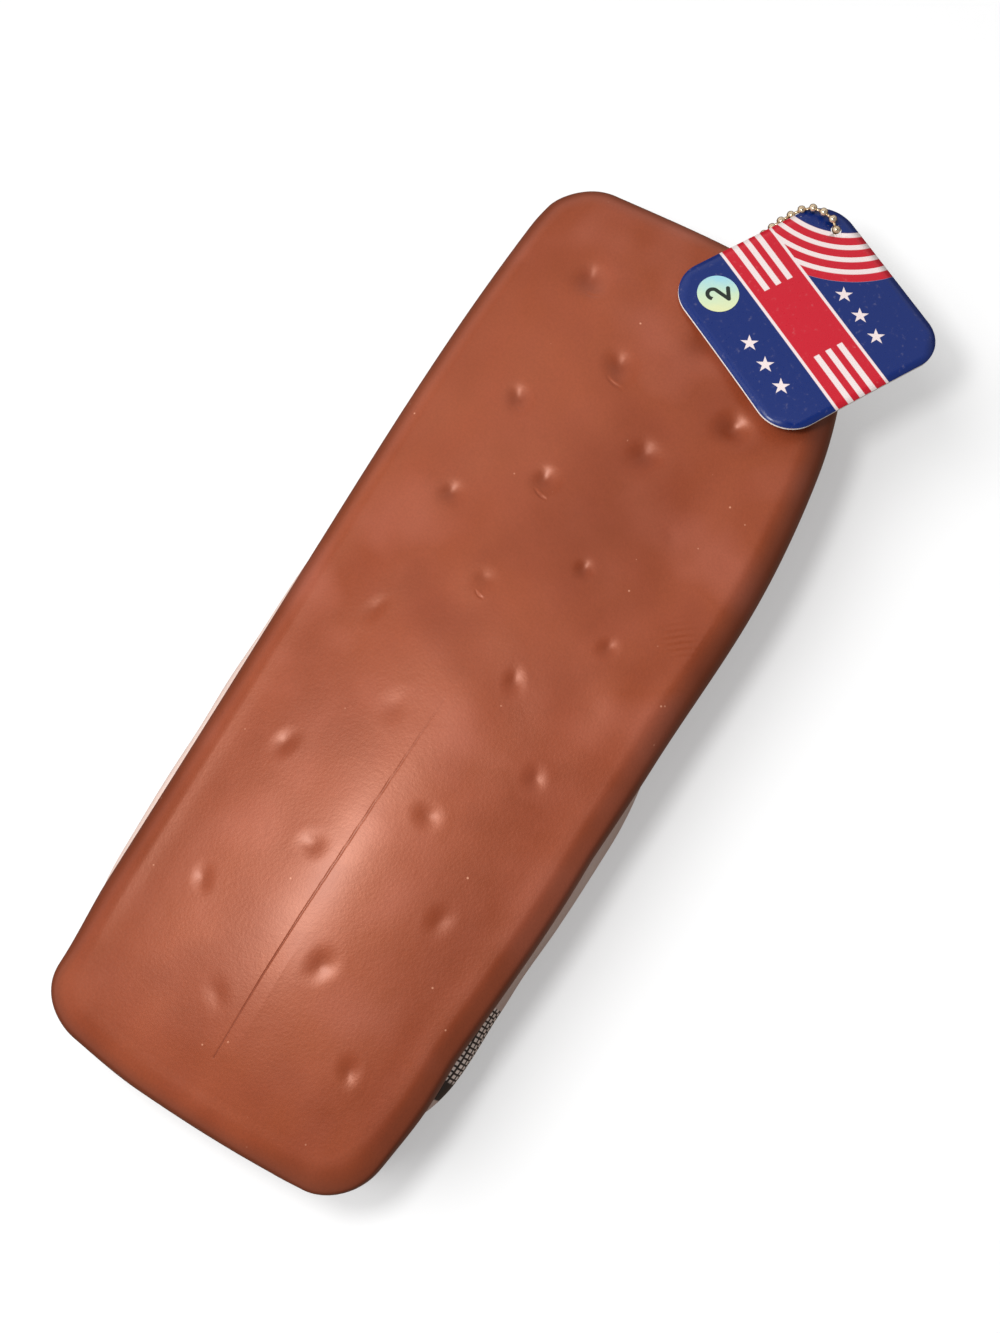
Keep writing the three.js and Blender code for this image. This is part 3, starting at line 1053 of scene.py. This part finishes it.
def steel_material():
    net = Skin("bead_steel")
    wear = net.noise(net.object_place(), 600, 3, 0.6)
    net.set(
        Base_Color=net.ramp(wear, (0.35, rgb(226, 200, 166)), (0.7, rgb(240, 222, 194))),
        Metallic=1.0,
        Roughness=net.level(wear, 0.3, 0.7, 0.16, 0.3),
    )
    return net.material


# The tag's print, in millimetres along and across the card from its middle.
NAVY, RED, PAPER = rgb(3, 30, 92), rgb(172, 14, 34), rgb(206, 192, 190)
STAR_ROWS = [(12.4, -14.5), (-18.3, -14.5)]  # the first star of each row
STARS, STAR_PITCH, STAR_RADIUS = 3, 7.4, 2.5
ARC_CENTRE, ARC_FROM, ARC_TO, ARC_PITCH = 34, 20.3, 35.9, 3.9
BAND, BAND_HALF = -1.3, 8.5
STRIPE_PITCH, STRIPES_HALF = 3.72, 4.9
BLOCK_HALF = (5.1, 11.5)
PIPING, PIPING_HALF = (-9.4, 6.8), 0.45


def tag_axes(net):
    """Millimetres along and across the tag, from its print's own coordinates."""
    along, across, _ = net.parts_of(net.node("TexCoord").outputs["UV"])
    half = TAG_SIDE / 2
    return [net.level(share, 0, 1, -half, half) for share in (along, across)]


def star_mask(net, a, b, first):
    """A row of five-pointed stars across the tag."""
    fifth = math.radians(72)
    da, db = net.minus(a, first[0]), net.minus(b, first[1])
    cell = net.math("ROUND", net.over(db, STAR_PITCH))
    in_row = net.within(cell, (STARS - 1) / 2, (STARS - 1) / 2 + 0.4, 0.05)
    db = net.minus(db, net.times(cell, STAR_PITCH))
    turn = net.plus(net.over(net.math("ARCTAN2", db, da), fifth), 10.5 + 0.2)
    turn = net.times(net.off_middle(turn, 1), fifth)
    reach = net.times(net.hypot(da, db), net.math("COSINE", net.minus(fifth, turn)))
    reach = net.over(reach, math.cos(fifth))
    return net.times(in_row, net.level(reach, STAR_RADIUS - 0.12, STAR_RADIUS + 0.12, 1, 0))


def corner_arcs(net, a, b, colour):
    """Red and white arcs round the corner with the hole."""
    far = net.hypot(net.minus(a, ARC_CENTRE), net.minus(b, ARC_CENTRE))
    wave = net.math("FRACT", net.over(net.minus(far, ARC_FROM), ARC_PITCH))
    inks = net.mix(net.level(wave, 0.36, 0.42), PAPER, RED)
    return net.mix(net.between(far, ARC_FROM, ARC_TO, 0.1), colour, inks)


def striped_band(net, a, b, colour):
    """A red band across the tag with white stripes, a plain block in its middle and piping at its sides."""
    step = net.over(net.minus(a, BAND), STRIPE_PITCH)
    off = net.math("ABSOLUTE", net.minus(step, net.math("ROUND", step)))
    stripes = net.times(net.level(off, 0.21, 0.25, 1, 0), net.within(a, BAND, STRIPES_HALF, 0.05))
    half_along, half_across = BLOCK_HALF
    block = net.times(net.within(a, BAND, half_along, 0.08), net.within(b, 0, half_across, 0.08))
    stripes = net.times(stripes, net.minus(1, block))
    piping = [net.within(a, place, PIPING_HALF, 0.08) for place in PIPING]
    inks = net.mix(net.largest(stripes, *piping), RED, PAPER)
    return net.mix(net.within(a, BAND, BAND_HALF, 0.08), colour, inks)


def tag_material():
    """Navy with rows of stars, arcs in a corner and a striped band."""
    net = Skin("tag_print")
    a, b = tag_axes(net)
    stars = net.largest(*(star_mask(net, a, b, first) for first in STAR_ROWS))
    colour = corner_arcs(net, a, b, net.mix(stars, NAVY, PAPER))
    colour = striped_band(net, a, b, colour)
    worn = net.noise(net.object_place(), 700, 3, 0.6)
    net.set(
        Base_Color=net.mix(net.level(worn, 0.62, 0.8, 0, 0.1), colour, PAPER),
        Roughness=net.level(worn, 0.3, 0.7, 0.26, 0.36),
        Specular_IOR_Level=0.4,
    )
    return net.material


def card_material():
    net = Skin("card_core")
    fibre = net.noise(net.object_place(), 1500, 4, 0.7)
    net.set(
        Base_Color=net.ramp(fibre, (0.3, rgb(214, 210, 204)), (0.7, rgb(244, 242, 238))),
        Roughness=0.7,
        Normal=net.bump(fibre, 0.3, 0.0002),
    )
    return net.material


NUMERAL_TURN = math.radians(60)
HOOK_CENTRE, HOOK_RADIUS = (-0.1, 1.35), 1.5
FOOT_LEFT, FOOT_RIGHT = (-1.65, -2.75), (1.75, -2.75)
SLOPE_TOP = (1.2, 0.6)


def numeral(net, x, y):
    """Distance from a plain numeral: a hook over the top, a slope and a foot."""
    hook_x, hook_y = net.minus(x, HOOK_CENTRE[0]), net.minus(y, HOOK_CENTRE[1])
    hook = net.math("ABSOLUTE", net.minus(net.hypot(hook_x, hook_y), HOOK_RADIUS))
    lower = net.plus(net.times(hook_x, -0.6), net.times(hook_y, -1))
    hook = net.plus(hook, net.level(lower, 0.6, 0.61, 0, 9))  # leaves off the ring's lower part
    slope = net.stroke(x, y, SLOPE_TOP, FOOT_LEFT)
    return net.smallest(hook, slope, net.stroke(x, y, FOOT_LEFT, FOOT_RIGHT))


def sticker_material():
    """Pearly paper with one plain numeral."""
    net = Skin("sticker_pearl")
    a, b = tag_axes(net)
    a, b = net.minus(a, STICKER[0]), net.minus(b, STICKER[1])
    c, s = math.cos(NUMERAL_TURN), math.sin(NUMERAL_TURN)
    x = net.plus(net.times(a, c), net.times(b, s))
    y = net.minus(net.times(b, c), net.times(a, s))
    cloud = net.noise(net.object_place(), 300, 2)
    share = net.plus(
        net.level(x, -STICKER[2], STICKER[2]), net.level(cloud, 0.3, 0.7, -0.08, 0.08)
    )
    pearl = ((0.05, rgb(192, 196, 152)), (0.5, rgb(172, 194, 166)), (0.95, rgb(136, 182, 194)))
    ink = net.level(numeral(net, x, y), 0.5, 0.62, 1, 0)
    net.set(
        Base_Color=net.mix(ink, net.ramp(share, *pearl), rgb(24, 34, 26)),
        Roughness=net.level(cloud, 0.3, 0.7, 0.3, 0.42),
        Specular_IOR_Level=0.4,
    )
    return net.material


def floor_material():
    net = Skin("pale_floor")
    net.set(
        Base_Color=net.ramp(
            net.noise(net.object_place(), 3, 2), (0.3, grey(0.49)), (0.7, grey(0.51))
        ),
        Roughness=0.9,
        Specular_IOR_Level=0.1,
        Emission_Color=(1, 1, 1, 1),
        Emission_Strength=0.34,
    )
    return net.material


# ---------------------------------------------------------------- the scene
def place(thing, node, slot, *materials):
    for material in materials:
        thing.data.materials.append(material)
    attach(thing, "root")
    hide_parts(node)
    return thing


foam = wafer_material()
place(top_wafer(), "wafer_top", "wafer_foam", foam)
place(bottom_wafer(), "wafer_bottom", "wafer_foam", foam)
place(filling_body(), "filling", "filling_foam", filling_material())
core = card_material()
place(card_tag(), "tag", "tag_card", tag_material(), core, core)
place(round_sticker(), "tag_sticker", "sticker_paper", sticker_material())
place(ball_chain(), "ball_chain", "chain_steel", steel_material())

# ---------------------------------------------------------------- floor and light
bpy.ops.mesh.primitive_plane_add(size=6)
floor = bpy.context.object
floor.name = "floor"
floor.location.z = -0.0002
floor.data.materials.append(floor_material())
floor.visible_diffuse = False
floor.visible_glossy = False


def light(name, kind, at, aim, energy, **settings):
    """A light at a place, in metres, aimed at another."""
    data = bpy.data.lights.new(name, kind)
    data.energy = energy
    for key, value in settings.items():
        setattr(data, key, value)
    thing = bpy.data.objects.new(name, data)
    bpy.context.scene.collection.objects.link(thing)
    thing.location = Vector(at)
    thing.rotation_euler = (Vector(aim) - Vector(at)).to_track_quat("-Z", "Y").to_euler()
    return thing


def room_light():
    """Soft walls, brighter on the object's left, dark straight above and brown below the horizon."""
    world = bpy.data.worlds.new("room")
    bpy.context.scene.world = world
    net = Net(world)
    _, y, z = net.parts_of(net.node("TexCoord").outputs["Generated"])
    walls = net.times(net.level(z, 0.7, 0.93, 1, 0.05), net.level(y, -1, 1, 0.5, 1.5))
    background = net.tree.nodes["Background"].inputs
    net.put(background["Color"], net.mix(net.level(z, -0.12, 0.1), (0.26, 0.19, 0.15, 1), walls))
    background["Strength"].default_value = 0.66


sun = light("soft", "SUN", (-0.26, 0.6, 1), (0, 0, 0), 1.9, angle=math.radians(34))
sun.visible_glossy = False
lamp = light("lamp", "SPOT", (-0.068, 0.053, 0.448), (-0.03, -0.01, 0.048), 4.7)
lamp.data.spot_size = math.radians(140)
lamp.data.spot_blend = 1
lamp.data.shadow_soft_size = 0.035
light("window", "AREA", (0.284, 0.056, 0.712), (0.06, 0, 0.047), 0.55, size=0.42)
room_light()
bpy.context.scene.view_settings.view_transform = "Standard"
